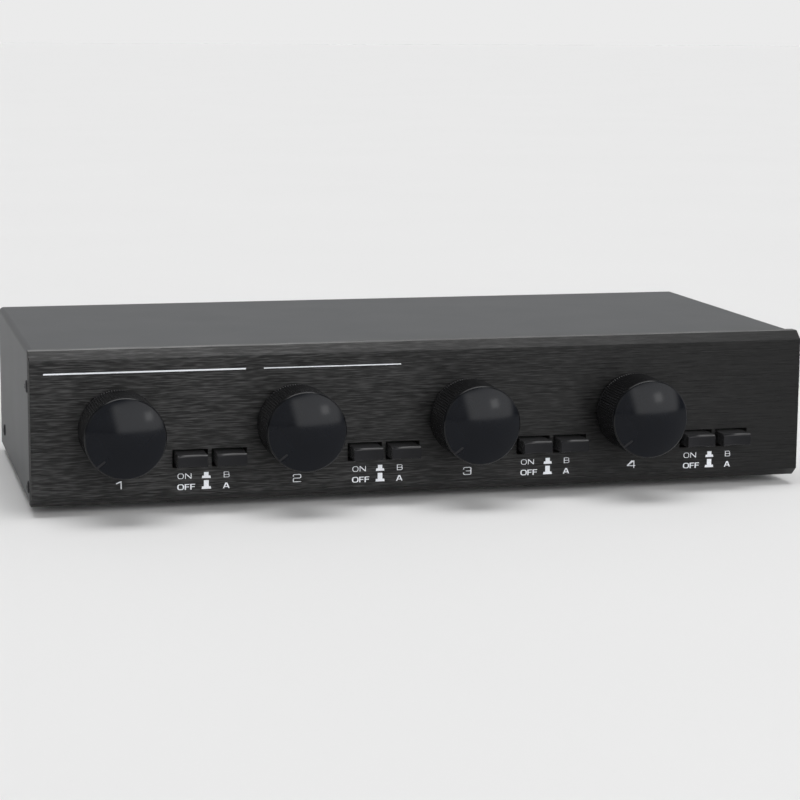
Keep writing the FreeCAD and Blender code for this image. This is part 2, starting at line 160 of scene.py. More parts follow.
def grey(level, tint=(1.0, 1.0, 1.0)):
    return tuple(level * t for t in tint)


# ---- finishes -----------------------------------------------------------------------------------
def anodised_aluminium():
    """Black anodising brushed lengthwise: lighter dashes, brush marks with painted glints that thin out to
    the right.
    """
    f = Finish("anodised_panel", Specular_IOR_Level=0.18, Anisotropic=0.6, Anisotropic_Rotation=0.25)
    dashes = f.noise((120.0, 500.0, 1450.0), 1.0, 0.5)
    lines = f.noise((36.0, 500.0, 1500.0), 3.0, 0.6)
    clouds = f.noise((22.0, 30.0, 60.0), 3.0, 0.6)
    along = f.node("SeparateXYZ", {"Vector": f.place}).outputs["X"]
    # painted glints: the lighter dashes' share of the colour falls from full at the left to nearly none at
    # the right
    painted_glint_share = f.share(along, 1.0, 0.06, -0.10, 0.21)
    base = f.blend(clouds, grey(0.003), grey(0.0048, (1.0, 1.0, 1.03)))
    # dashes and lines lighter in colour than the face: partly the brushing's own marks, partly painted
    # glints
    marks = f.added(f.blend(dashes, grey(0.0), grey(0.040), 0.44, 0.74),
                    f.blend(lines, grey(0.0), grey(0.017), 0.44, 0.66), 1.0)
    f.colour(f.added(base, marks, painted_glint_share))
    f.rough(f.share(lines, 0.25, 0.37, 0.35, 0.65))
    f.relief(dashes, 0.6, 0.00008)
    return f.material


def cut_aluminium(name, dark, light):
    """Sawn and milled faces of the extrusion, dyed black."""
    f = Finish(name, Specular_IOR_Level=0.12)
    marks = f.noise((300.0, 160.0, 1800.0), 3.0)
    f.colour(f.blend(marks, grey(dark), grey(light)))
    f.rough(f.share(marks, 0.5, 0.66))
    f.relief(marks, 0.2, 0.00005)
    return f.material


def powder_paint(name, level):
    """Satin black powder paint: a fine even grain, and slow changes of gloss."""
    f = Finish(name, Specular_IOR_Level=0.46)
    grain = f.noise((2400.0, 2400.0, 2400.0), 2.0)
    clouds = f.noise((22.0, 22.0, 22.0), 3.0)
    dark, light = grey(level * 0.95, (0.91, 1.01, 1.12)), grey(level * 1.05, (0.92, 1.02, 1.13))
    f.colour(f.blend(clouds, dark, light))
    f.rough(f.share(clouds, 0.465, 0.495))
    f.relief(grain, 0.12, 0.00004)
    return f.material


def moulded(name, colour, low, high, specular=0.5, grain_size=1400.0, grain=0.06, sheen=0.0):
    """Moulded plastic or rubber: a faint grain, and gloss that varies with the flow of the mould."""
    f = Finish(name, Specular_IOR_Level=specular, Sheen_Weight=sheen)
    flow = f.noise((70.0, 70.0, 70.0), 3.0)
    fine = f.noise((grain_size, grain_size, grain_size), 2.0)
    f.colour(f.blend(flow, tuple(c * 0.88 for c in colour), tuple(c * 1.12 for c in colour)))
    f.rough(f.share(flow, low, high))
    f.relief(fine, grain, 0.00003)
    return f.material


def metal(name, colour, low, high):
    """Plated or blackened metal with fine marks and patches of different gloss."""
    f = Finish(name, Metallic=1.0)
    marks = f.noise((900.0, 900.0, 900.0), 4.0)
    clouds = f.noise((160.0, 160.0, 160.0), 2.0)
    f.colour(f.blend(clouds, tuple(c * 0.85 for c in colour), colour))
    f.rough(f.share(marks, low, high))
    f.relief(marks, 0.08, 0.00003)
    return f.material


WAVE_SCALE = math.pi / 5                 # at which Blender's diagonal wave has a period of 1


def striped(name, dark, light, axis, pitch, gloss=(0.4, 0.6), metallic=0.0):
    """Layers or wires side by side along one axis, a pitch apart in millimetres."""
    f = Finish(name, Metallic=metallic)
    scale = [0.0, 0.0, 0.0]
    scale[axis] = 1.0 / (pitch * MM)
    wave = f.node("TexWave", {"Vector": f.scaled(tuple(scale)), "Scale": WAVE_SCALE, "Distortion": 0.0},
                  wave_type="BANDS", bands_direction="DIAGONAL", wave_profile="SIN")
    wear = f.noise((120.0, 120.0, 120.0), 3.0)
    f.colour(f.blend(wave.outputs["Fac"], dark, light, 0.15, 0.6))
    f.rough(f.share(wear, *gloss))
    f.relief(wave.outputs["Fac"], 0.5, 0.0001)
    return f.material


def solder_mask():
    """Green circuit board: mask over wide copper areas."""
    f = Finish("circuit_board", Roughness=0.35)
    cells = f.node("TexVoronoi", {"Vector": f.scaled((90.0, 90.0, 90.0)), "Scale": 1.0},
                   feature="DISTANCE_TO_EDGE")
    f.colour(f.blend(cells.outputs["Distance"], (0.02, 0.13, 0.05), (0.035, 0.22, 0.085), 0.02, 0.06))
    f.rough(f.share(f.noise((300.0, 300.0, 300.0)), 0.25, 0.42))
    f.relief(cells.outputs["Distance"], 0.2, 0.00005)
    return f.material


def printed_ink():
    f = Finish("legend_ink", Roughness=0.55)
    worn = f.noise((2600.0, 2600.0, 2600.0), 3.0)
    f.colour(f.blend(worn, (0.56, 0.58, 0.62), (0.80, 0.82, 0.86), 0.25, 0.6))
    f.relief(worn, 0.1, 0.00002)
    return f.material


FINISHES = {
    "anodised_panel": anodised_aluminium(),
    "case_paint": powder_paint("case_paint", 0.037),
    "tray_paint": powder_paint("tray_paint", 0.030),
    "black_screw": metal("black_screw", (0.045, 0.045, 0.048), 0.32, 0.5),
    "foot_rubber": moulded("foot_rubber", (0.022, 0.022, 0.023), 0.72, 0.86, 0.35, 900.0, 0.25),
    "knob_plastic": moulded("knob_plastic", (0.0031, 0.0039, 0.0062), 0.13, 0.17, 0.16, 1800.0, 0.01),
    "cap_plastic": moulded("cap_plastic", (0.0080, 0.0081, 0.0098), 0.18, 0.26, 0.18, 1800.0, 0.04, 0.05),
    "plated_steel": metal("plated_steel", (0.62, 0.61, 0.58), 0.22, 0.42),
    "switch_plastic": moulded("switch_plastic", (0.03, 0.03, 0.035), 0.4, 0.55),
    "plunger_plastic": moulded("plunger_plastic", (0.66, 0.64, 0.58), 0.4, 0.5),
    "circuit_board": solder_mask(),
    "core_steel": striped("core_steel", (0.06, 0.055, 0.05), (0.2, 0.18, 0.16), 1, 0.7, (0.45, 0.7), 0.6),
    "coil_tape": striped("coil_tape", (0.42, 0.22, 0.03), (0.66, 0.42, 0.08), 2, 1.6),
    "loom_sheath": striped("loom_sheath", (0.16, 0.16, 0.17), (0.42, 0.42, 0.44), 0, 1.4),
    "terminal_plastic": moulded("terminal_plastic", (0.018, 0.018, 0.019), 0.38, 0.5),
}
INK = printed_ink()
PANEL_END = cut_aluminium("anodised_end", 0.0025, 0.006)
# the windows' walls are much lighter than the sawn ends: painted light that lifts them out of the windows'
# shade
WINDOW_WALLS_PAINTED_LIGHT = cut_aluminium("window_walls_painted_light", 0.032, 0.048)
# the fluted side: glossier than the dome, and about four times lighter in colour, painted light for the
# light its flutes catch
KNOB_FLUTES_PAINTED_LIGHT = moulded("knob_side", (0.012, 0.012, 0.013), 0.18, 0.26, 0.36, 1800.0, 0.02)
KNOB_RIM = moulded("knob_rim", (0.0038, 0.0042, 0.0054), 0.15, 0.19, 0.26, 1800.0, 0.01)
# the caps' upper bevel only: smoother, glossier and lighter than the cap, a painted highlight along the top
# edge
CAP_EDGE_PAINTED_HIGHLIGHT = moulded("cap_edge_painted_highlight", (0.012, 0.012, 0.0135), 0.16, 0.22, 0.36, 1800.0, 0.02)
# the pointer's groove fill: lighter than the knob, a painted highlight for the groove's lit wall
POINTER_HIGHLIGHT_FILL = moulded("pointer_highlight_fill", (0.016, 0.016, 0.018), 0.5, 0.65, 0.2)


def dress_nodes():
    """Gives every model node the finish of its material slot."""
    for part in frame["record"]["subparts"]:
        for slot in frame["nodes"][part["node"]].material_slots:
            slot.material = FINISHES[part["material_slot"]]


# ---- mesh helpers -------------------------------------------------------------------------------
def clock(angle, r=1.0):
    """The (x, z) offset at a clockwise angle from the top, seen from the front."""
    a = math.radians(angle)
    return r * math.sin(a), r * math.cos(a)


def shaded(mesh):
    """Smooth shading, with creases where faces meet at an angle."""
    mesh.shade_smooth()
    mesh.set_sharp_from_angle(angle=math.radians(CREASE_ANGLE))
    return mesh


def mesh_from(name, points, faces):
    """A mesh from points in millimetres."""
    mesh = bpy.data.meshes.new(name)
    mesh.from_pydata([Vector(p) * MM for p in points], [], faces)
    mesh.validate()
    return shaded(mesh)


def facing_out(mesh):
    """The closed mesh with all its faces pointing outwards."""
    solid = bmesh.new()
    solid.from_mesh(mesh)
    bmesh.ops.recalc_face_normals(solid, faces=solid.faces)
    solid.to_mesh(mesh)
    solid.free()
    return mesh


def loft(name, rings):
    """A skin over closed rings of equal length, points in millimetres, with flat ends."""
    n = len(rings[0])
    faces = []
    for i in range(len(rings) - 1):
        for j in range(n):
            k = (j + 1) % n
            faces.append((i * n + j, i * n + k, (i + 1) * n + k, (i + 1) * n + j))
    faces.append(tuple(reversed(range(n))))
    faces.append(tuple(range((len(rings) - 1) * n, len(rings) * n)))
    return mesh_from(name, [p for ring in rings for p in ring], faces)


def turned(name, profile, sides):
    """A profile of (radius, height) points turned about +Z, in millimetres."""
    rings = []
    for r, h in profile:
        turns = [2 * math.pi * i / sides for i in range(sides)]
        rings.append([(r * math.cos(t), r * math.sin(t), h) for t in turns])
    return loft(name, rings)


def arc(cx, cy, r, start, end, steps):
    """Points on a circle's arc, angles in degrees, counter-clockwise from +X."""
    turns = [math.radians(start + (end - start) * i / steps) for i in range(steps + 1)]
    return [(cx + r * math.cos(t), cy + r * math.sin(t)) for t in turns]


def temporary(mesh):
    obj = bpy.data.objects.new("temporary", mesh)
    bpy.context.scene.collection.objects.link(obj)
    return obj


def finished_mesh(obj, name):
    """The object's mesh with its modifiers applied; the object is removed."""
    graph = bpy.context.evaluated_depsgraph_get()
    mesh = bpy.data.meshes.new_from_object(obj.evaluated_get(graph))
    mesh.name = name
    bpy.data.objects.remove(obj)
    return mesh


def carved(mesh, cutters):
    """The mesh less some cutter meshes."""
    obj = temporary(mesh)
    tools = [temporary(cutter) for cutter in cutters]
    for tool in tools:
        cut = obj.modifiers.new("cut", "BOOLEAN")
        cut.operation, cut.solver, cut.object = "DIFFERENCE", "EXACT", tool
    made = finished_mesh(obj, mesh.name)
    for tool in tools:
        bpy.data.objects.remove(tool)
    return shaded(made)


def edged(mesh, width, segments=2, limit=32.0):
    """The mesh with its sharp edges rounded by a width in millimetres, and flat faces kept flat."""
    obj = temporary(mesh)
    bevel = obj.modifiers.new("edges", "BEVEL")
    bevel.width, bevel.segments = width * MM, segments
    bevel.limit_method, bevel.angle_limit = "ANGLE", math.radians(limit)
    normals = obj.modifiers.new("normals", "WEIGHTED_NORMAL")
    normals.weight = 90
    made = finished_mesh(obj, mesh.name)
    made.shade_smooth()
    return made


def copy_of_node(node, width):
    """A model node's own solid, with the small rounding that its real edges have."""
    mesh = frame["nodes"][node].data.copy()
    mesh.name = node + "_dressed"
    solid = bmesh.new()
    solid.from_mesh(mesh)
    bmesh.ops.remove_doubles(solid, verts=solid.verts, dist=0.002 * MM)
    bmesh.ops.dissolve_limit(solid, angle_limit=math.radians(0.6), verts=solid.verts, edges=solid.edges)
    solid.to_mesh(mesh)
    solid.free()
    mesh.materials.clear()
    if mesh.has_custom_normals:
        mesh.attributes.remove(mesh.attributes["custom_normal"])
    mesh.shade_smooth()
    return edged(mesh, width)


def with_finishes(mesh, finishes):
    """The mesh with these finishes as its material slots, all its faces in the first."""
    mesh.materials.clear()
    for finish in finishes:
        mesh.materials.append(finish)
    return mesh


def piece(name, mesh, slot, body, at=(0.0, 0.0, 0.0), turn=None, replaced=()):
    """Puts a mesh in the scene at a place in metres, riding on a body.

    A mesh without a finish of its own takes its slot's.
    """
    if not mesh.materials:
        mesh.materials.append(FINISHES[slot])
    obj = bpy.data.objects.new(name, mesh)
    bpy.context.scene.collection.objects.link(obj)
    obj.matrix_world = Matrix.Translation(Vector(at)) @ (turn or Matrix.Identity(4))
    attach(obj, body)
    if replaced:
        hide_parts(*replaced)


def gathered(name, copies):
    """One mesh from (mesh, matrix) pairs."""
    solid = bmesh.new()
    for mesh, matrix in copies:
        moved = mesh.copy()
        moved.transform(matrix)
        solid.from_mesh(moved)
        bpy.data.meshes.remove(moved)
    made = bpy.data.meshes.new(name)
    solid.to_mesh(made)
    solid.free()
    return shaded(made)


def facing(direction):
    """The turn that points +Z along a direction."""
    return Vector(direction).to_track_quat("Z", "Y").to_matrix().to_4x4()


# ---- case ---------------------------------------------------------------------------------------
def case():
    """The panel, cover, tray and terminal headers with small rounded edges.

    The panel's sawn ends and milled windows have finishes of their own; the windows' walls are lighter,
    painted light in the windows' shade.
    """
    panel = copy_of_node("front_panel", PANEL_ROUND)
    with_finishes(panel, (FINISHES["anodised_panel"], PANEL_END, WINDOW_WALLS_PAINTED_LIGHT))
    for face in panel.polygons:
        if abs(face.normal.x) > 0.9 and abs(face.center.x) > PANEL_HIGH.x - 0.1 * MM:
            face.material_index = 1
        elif abs(face.normal.y) < 0.1 and PANEL_LOW.z + MM < face.center.z < PANEL_HIGH.z - MM:
            face.material_index = 2
    piece("front_panel_dressed", panel, "anodised_panel", "case", replaced=("front_panel",))
    for node, slot, width in (("top_cover", "case_paint", SHEET_ROUND),
                              ("chassis_tray", "tray_paint", SHEET_ROUND),
                              ("terminal_headers", "terminal_plastic", MOULD_ROUND)):
        piece(node + "_dressed", copy_of_node(node, width), slot, "case", replaced=(node,))


def pan_head(r, high):
    """A domed screw head with a cross recess, seat at the origin, facing +Z."""
    crown, side, shoulder = r * 0.55, high * 0.22, high * 0.55
    dome_r = (crown ** 2 + (high * 0.25) ** 2) / (2 * high * 0.25)
    profile = [(AXIS_R, 0.0), (r, 0.0), (r, side)]
    for t in (0.2, 0.4, 0.6, 0.8, 1.0):
        profile.append((r * 0.98 - (r * 0.98 - crown) * t ** 2, side + shoulder * math.sin(t * math.pi / 2)))
    for share in (0.75, 0.5, 0.25):
        across = crown * share
        profile.append((across, high - dome_r + math.sqrt(dome_r ** 2 - across ** 2)))
    profile.append((AXIS_R, high))
    arm, width, deep = r * 0.52, r * 0.17, high * 0.62
    cutters = []
    for x, y in ((arm, width), (width, arm)):
        rings = [[(-x * s, -y * s, z), (x * s, -y * s, z), (x * s, y * s, z), (-x * s, y * s, z)]
                 for s, z in ((0.55, high - deep), (1.12, high + 0.3))]
        cutters.append(loft("arm", rings))
    return carved(turned("head", profile, 40), cutters)


def cover_screws():
    head = pan_head(*COVER_SCREW_HEAD)
    copies = []
    for side, x in ((-1, COVER_LOW.x), (1, COVER_HIGH.x)):
        for number, (y, z) in enumerate(COVER_SCREWS):
            place = Vector((x, FACE_Y + y * MM, PANEL_LOW.z + z * MM))
            spin = Matrix.Rotation(math.radians(31 * number + 17 * side), 4, "Z")
            copies.append((head, Matrix.Translation(place) @ facing((side, 0, 0)) @ spin))
    piece("cover_screw_heads", gathered("cover_screw_heads", copies), "black_screw", "case",
          replaced=("cover_screws",))


def rear_screws():
    head = pan_head(*REAR_SCREW_HEAD)
    copies = []
    for number, (x, z) in enumerate(REAR_SCREWS):
        place = Vector((x * MM, COVER_HIGH.y, z * MM))
        spin = Matrix.Rotation(math.radians(23 * number), 4, "Z")
        copies.append((head, Matrix.Translation(place) @ facing((0, 1, 0)) @ spin))
    piece("rear_screw_heads", gathered("rear_screw_heads", copies), "black_screw", "case")


def feet():
    """Tapered rubber feet, each with a screw in its recess."""
    low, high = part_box("rubber_feet")
    top = high.z / MM
    lip, edge = FOOT_RECESS_ROUND, FOOT_ROUND
    profile = [(AXIS_R, FOOT_RECESS_DEEP), (FOOT_RECESS_R, FOOT_RECESS_DEEP), (FOOT_RECESS_R, lip)]
    profile += arc(FOOT_RECESS_R + lip, lip, lip, 180, 270, 3)
    profile += arc(FOOT_R - FOOT_TAPER - edge, edge, edge, 270, 352, 4)
    profile += [(FOOT_R, top), (AXIS_R, top)]
    foot = facing_out(turned("foot", profile, 56))
    head = pan_head(*FOOT_SCREW_HEAD)
    inset = FOOT_R * MM
    xs, ys = (low.x + inset, high.x - inset), (low.y + inset, high.y - inset)
    places = [Vector((x, y, 0.0)) for x in xs for y in ys]
    piece("feet_dressed", gathered("feet_dressed", [(foot, Matrix.Translation(p)) for p in places]),
          "foot_rubber", "case", replaced=("rubber_feet",))
    up = Vector((0, 0, FOOT_RECESS_DEEP * MM))
    screws = [(head, Matrix.Translation(p + up) @ facing((0, 0, -1))) for p in places]
    piece("foot_screws", gathered("foot_screws", screws), "plated_steel", "case")


# ---- volume knobs -------------------------------------------------------------------------------
def knob_profile(r, reach, back):
    """(radius, y, share of the flutes' depth) from the bore's end round the side to the rim."""
    rim_y = -(reach - DOME_H)
    bottom = back - BORE_DEEP
    flutes_start, flutes_end, bands = back - 1.3, rim_y + 1.6, 6
    points = [(AXIS_R, bottom, 0), (BORE_R, bottom, 0), (BORE_R, back, 0), (r - 1.0, back, 0)]
    points += [(r - 0.45, back, 0), (r - 0.12, back - 0.3, 0), (r, back - 0.75, 0), (r, flutes_start, 1)]
    points += [(r, flutes_start + (flutes_end - flutes_start) * i / bands, 1) for i in range(1, bands + 1)]
    points += [(r, rim_y + 1.15, 0.6), (r - 0.02, rim_y + 0.8, 0.15), (r - 0.1, rim_y + 0.45, 0)]
    points += [(r - 0.3, rim_y + 0.12, 0), (r - 0.62, rim_y - 0.12, 0)]
    return points


class Dome:
    """The sphere that the knob's front belongs to, in millimetres about the knob's axis."""

    def __init__(self, r, reach):
        self.edge = r - RIM_R
        self.radius = (r ** 2 + DOME_H ** 2) / (2 * DOME_H)
        self.centre = Vector((0.0, self.radius - reach, 0.0))

    def y_at(self, r):
        return self.centre.y - math.sqrt(self.radius ** 2 - r ** 2)

    def rings(self):
        """(radius, points round the ring), from the rim inwards; each count divides the one before."""
        inside = self.edge - DOME_FINE
        steps = [(self.edge, FLUTES * SAMPLES_PER_FLUTE), (self.edge - 0.45, FLUTES * 3), (inside, FLUTES)]
        steps += [(inside - 1.2 * i, FLUTES) for i in range(1, 10)]
        steps += [(inside - 10.8 - 1.4 * i, FLUTES // 2) for i in range(1, 4)]
        return steps + [(3.0, FLUTES // 4), (1.5, FLUTES // 4), (0.4, FLUTES // 8)]

    def smooth(self, mesh):
        """Gives every corner that lies on the sphere the sphere's own normal."""
        normals = [Vector(corner.vector) for corner in mesh.corner_normals]
        for face in mesh.polygons:
            for corner in face.loop_indices:
                place = mesh.vertices[mesh.loops[corner].vertex_index].co / MM - self.centre
                on_sphere = place.y < 0 and abs(place.length - self.radius) < 0.03
                if on_sphere and face.normal.dot(place) > 0.9 * place.length:
                    normals[corner] = place.normalized()
        mesh.normals_split_custom_set(normals)


def ring_at(radius, y, count, depth=0.0):
    """Points round the knob's axis, with flutes of a depth cut into them."""
    points = []
    for i in range(count):
        valley = 0.5 - 0.5 * math.cos(2 * math.pi * i * FLUTES / count)
        dx, dz = clock(360.0 * i / count, radius - depth * valley)
        points.append((dx, y, dz))
    return points


def joined_rings(name, rings):
    """A closed skin over rings whose counts are equal to the one before or divide it."""
    points, faces, start = [], [], 0
    for ring in rings:
        points += ring
    for ring, after in zip(rings, rings[1:]):
        n, m = len(ring), len(after)
        share, second = n // m, start + n
        for j in range(m):
            outer = [start + (j * share + k) % n for k in range(share + 1)]
            faces.append(outer + [second + (j + 1) % m, second + j])
        start = second
    faces.append(list(reversed(range(len(rings[0])))))
    faces.append(list(range(start, start + len(rings[-1]))))
    return mesh_from(name, points, faces)


def groove_outline():
    """The pointer's outline as (x, z) points, z outwards, open beyond the dome's edge."""
    half = POINTER_W / 2
    rounded = [(x, -z) for x, z in arc(0, POINTER_L / 2, half, 0, 180, 8)]
    return [(-half, POINTER_L / 2 + 1.2), (half, POINTER_L / 2 + 1.2)] + rounded


def on_pointer(mesh, dome, r):
    """Moves a mesh from the origin, facing -Y, to the pointer's place on the dome."""
    lean = math.asin((r - POINTER_L / 2) / dome.radius)
    mesh.transform(Matrix.Translation((0, -dome.radius * MM, 0)))
    mesh.transform(Matrix.Rotation(-lean, 4, "X"))
    mesh.transform(Matrix.Rotation(math.radians(POINTER_ANGLE), 4, "Y"))
    mesh.transform(Matrix.Translation(dome.centre * MM))
    return mesh


def knob_mesh(r, reach, back):
    """A turned knob about the Y axis, with its pointer groove and set screw hole."""
    dome = Dome(r, reach)
    count = FLUTES * SAMPLES_PER_FLUTE
    rings = [ring_at(radius, y, count, FLUTE_DEPTH * share)
             for radius, y, share in knob_profile(r, reach, back)]
    rings += [ring_at(radius, dome.y_at(radius), n) for radius, n in dome.rings()]
    body = facing_out(joined_rings("knob", rings))
    groove = facing_out(loft("groove", [[(x * s, y, z) for x, z in groove_outline()]
                                        for s, y in ((0.72, POINTER_DEEP), (1.0, 0.0), (1.2, -0.6))]))
    hole_r = SET_SCREW_R + 0.1
    hole = facing_out(turned("hole", [(hole_r, SET_SCREW_SPAN[1]), (hole_r, r + 1.0)], 32))
    sx, sz = clock(SET_SCREW_ANGLE)
    hole.transform(Matrix.Translation((0, (back - SET_SCREW_BACK) * MM, 0)) @ facing((sx, 0, sz)))
    made = carved(body, [on_pointer(groove, dome, r), hole])
    dome.smooth(made)
    with_finishes(made, (FINISHES["knob_plastic"], KNOB_FLUTES_PAINTED_LIGHT, KNOB_RIM))
    dome_edge, rim_end = (dome.edge - 0.02) * MM, (DOME_H + 1.2 - reach) * MM
    # beyond the dome's edge: the rim's finish, and behind it the side's, which is painted lighter as painted
    # light
    for face in made.polygons:
        if math.hypot(face.center.x, face.center.z) > dome_edge:
            face.material_index = 2 if face.center.y < rim_end else 1
    return made


def pointer_mesh(r, reach):
    """A lighter fill in the pointer's groove: a painted highlight for the light that the groove's wall
    catches.
    """
    inside = [(x * 0.86, min(z, POINTER_L / 2)) for x, z in groove_outline()]
    rings = [[(x, y, z) for x, z in inside] for y in (POINTER_DEEP - 0.03, POINTER_FILL)]
    fill = facing_out(loft("pointer_highlight_fill", rings))
    return with_finishes(on_pointer(fill, Dome(r, reach), r), (POINTER_HIGHLIGHT_FILL,))


def socket_screw():
    """A set screw with a hexagonal socket, facing +Z from the knob's axis."""
    start, end = SET_SCREW_SPAN
    screw = turned("set_screw", [(AXIS_R, start), (SET_SCREW_R, start), (SET_SCREW_R, end - 0.25),
                                 (SET_SCREW_R - 0.25, end), (AXIS_R, end)], 36)
    turns = [math.radians(60 * i) for i in range(6)]
    hexagon = [(HEX_SOCKET_R * math.cos(t), HEX_SOCKET_R * math.sin(t)) for t in turns]
    socket = loft("socket", [[(x, y, z) for x, y in hexagon] for z in (end - HEX_SOCKET_DEEP, end + 0.5)])
    return carved(screw, [socket])


def knobs():
    low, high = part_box("knob_1")
    r, reach, back = (high.x - low.x) / 2 / MM, (FACE_Y - low.y) / MM, (high.y - FACE_Y) / MM
    mesh = knob_mesh(r, reach, back)
    mesh.name = "knob_dressed"
    # the pointer's lighter fill, a painted highlight
    paint = pointer_mesh(r, reach)
    screw = socket_screw()
    sx, sz = clock(SET_SCREW_ANGLE)
    for i in ZONES:
        low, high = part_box("knob_%d" % i)
        at = Vector(((low.x + high.x) / 2, FACE_Y, (low.z + high.z) / 2))
        body = "volume_knob_%d" % i
        piece("knob_%d_dressed" % i, mesh, "knob_plastic", body, at, replaced=("knob_%d" % i,))
        piece("pointer_paint_%d" % i, paint, "knob_plastic", body, at)
        piece("set_screw_%d_dressed" % i, screw, "plated_steel", body,
              at + Vector((0, (back - SET_SCREW_BACK) * MM, 0)), facing((sx, 0, sz)))


# ---- button caps --------------------------------------------------------------------------------
def cap_mesh(width, height, length):
    """A cap whose front is hollow about an upright axis, with bevelled top and bottom front edges.

    The origin is midway between the foremost lines, its left and right front edges; it runs back along +Y.
    The upper bevel has a finish of its own, smoother, glossier and a little lighter than the rest: a painted
    highlight along the cap's top edge.
    """
    sagitta = DISH_R - math.sqrt(DISH_R ** 2 - (width / 2) ** 2)
    low, high = -height / 2, height / 2
    rings = []
    for i in range(CAP_STATIONS + 1):
        x = width * (i / CAP_STATIONS - 0.5)
        front = math.sqrt(DISH_R ** 2 - x ** 2) - DISH_R + sagitta
        rings.append([(x, y, z) for y, z in (
            (length, low), (front + CAP_EDGE, low), (front, low + CAP_EDGE),
            (front, high - CAP_EDGE), (front + CAP_EDGE, high), (length, high))])
    made = edged(facing_out(loft("cap", rings)), CAP_ROUND, 3, 30.0)
    with_finishes(made, (FINISHES["cap_plastic"], CAP_EDGE_PAINTED_HIGHLIGHT))
    for face in made.polygons:
        # the upper bevel takes the painted highlight
        face.material_index = 1 if face.normal.y < -0.25 and face.normal.z > 0.25 else 0
    return made


def caps():
    low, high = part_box("on_off_button_1")
    size = (high - low) / MM
    mesh = cap_mesh(size.x, size.z, size.y)
    for i in ZONES:
        for kind in ("on_off", "a_b"):
            node = "%s_button_%d" % (kind, i)
            low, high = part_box(node)
            at = Vector(((low.x + high.x) / 2, low.y, (low.z + high.z) / 2))
            piece(node + "_dressed", mesh, "cap_plastic", "%s_%d" % (kind, i), at, replaced=(node,))


# ---- printed legends ----------------------------------------------------------------------------
def outline(corners):
    """A closed outline from (x, z, radius) corners, each rounded by its radius."""
    points = []
    n, steps = len(corners), 5
    for i, (x, z, r) in enumerate(corners):
        corner = Vector((x, z))
        if r <= 0:
            points.append(corner)
            continue
        before = (Vector(corners[i - 1][:2]) - corner).normalized()
        after = (Vector(corners[(i + 1) % n][:2]) - corner).normalized()
        half = before.angle(after) / 2
        centre = corner + (before + after).normalized() * (r / math.sin(half))
        start = corner + before * (r / math.tan(half)) - centre
        end = corner + after * (r / math.tan(half)) - centre
        turn = start.angle_signed(end)
        for k in range(steps + 1):
            spun = start.copy()
            spun.rotate(Matrix.Rotation(-turn * k / steps, 2))
            points.append(centre + spun)
    return points


def box_of(w, h, r, x=0.0, z=0.0):
    return [(x, z, r), (x + w, z, r), (x + w, z + h, r), (x, z + h, r)]


def letter_o(w, h, s, t):
    r = h * 0.42
    return [box_of(w, h, r), box_of(w - 2 * s, h - 2 * t, r - (s + t) / 2, s, t)]


def letter_n(w, h, s, t):
    cross = s * 1.3
    return [[(0, 0, 0), (s, 0, 0), (s, h - cross * 1.2, 0), (w - cross, 0, 0), (w, 0, 0),
             (w, h, 0), (w - s, h, 0), (w - s, cross * 1.2, 0), (cross, h, 0), (0, h, 0)]]


def letter_f(w, h, s, t):
    low, high, arm = (h - t) / 2, (h + t) / 2, w * 0.92
    return [[(0, 0, 0), (s, 0, 0), (s, low, 0), (arm, low, 0), (arm, high, 0), (s, high, 0),
             (s, h - t, 0), (w, h - t, 0), (w, h, 0), (0, h, 0)]]


def letter_a(w, h, s, t):
    top, bar, mid = w * 0.14, h * 0.22, w / 2

    def inner(z):
        return mid - (mid - s) * (1 - z / (h - t)) * 0.98

    return [[(0, 0, 0), (s, 0, 0), (inner(bar) - 0.1, bar, 0), (w - inner(bar) + 0.1, bar, 0),
             (w - s, 0, 0), (w, 0, 0), (mid + top, h, 0), (mid - top, h, 0)],
            [(inner(bar + t), bar + t, 0), (w - inner(bar + t), bar + t, 0), (mid, h - t * 1.2, 0)]]


def letter_b(w, h, s, t):
    middle, r = h * 0.5, h * 0.24
    return [[(0, 0, 0), (w, 0, r), (w, middle, r * 0.7), (w - 0.2, middle + 0.06, 0.1),
             (w - 0.1, h, r), (0, h, 0)],
            box_of(w - 2 * s, middle - 1.5 * t, 0.3, s, t),
            box_of(w - 2 * s - 0.1, h - middle - 1.5 * t, 0.3, s, middle + t / 2)]


def digit_1(w, h, s, t):
    return [[(w - s, 0, 0), (w, 0, 0), (w, h, 0), (w - s * 1.1, h, 0),
             (0, h - 0.95, 0), (0, h - 1.55, 0), (w - s, h - t * 1.9, 0)]]


def digit_2(w, h, s, t):
    low, high, hook, r = (h - t) / 2, (h + t) / 2, h * 0.68, h * 0.2
    return [[(0, hook, 0), (0, h, r), (w, h, r), (w, low, r), (s, low, r * 0.4), (s, t, 0),
             (w, t, 0), (w, 0, 0), (0, 0, 0), (0, high, r), (w - s, high, r * 0.4),
             (w - s, h - t, r * 0.4), (s, h - t, r * 0.4), (s, hook, 0)]]


def digit_3(w, h, s, t):
    low, high, r, tongue = (h - t) / 2, (h + t) / 2, h * 0.2, w * 0.32
    hook_low, hook_high = h * 0.3, h * 0.7
    return [[(0, hook_high, 0), (0, h, r), (w, h, r), (w, 0, r), (0, 0, r), (0, hook_low, 0),
             (s, hook_low, 0), (s, t, r * 0.4), (w - s, t, r * 0.4), (w - s, low, r * 0.3),
             (tongue, low, 0), (tongue, high, 0), (w - s, high, r * 0.3), (w - s, h - t, r * 0.4),
             (s, h - t, r * 0.4), (s, hook_high, 0)]]


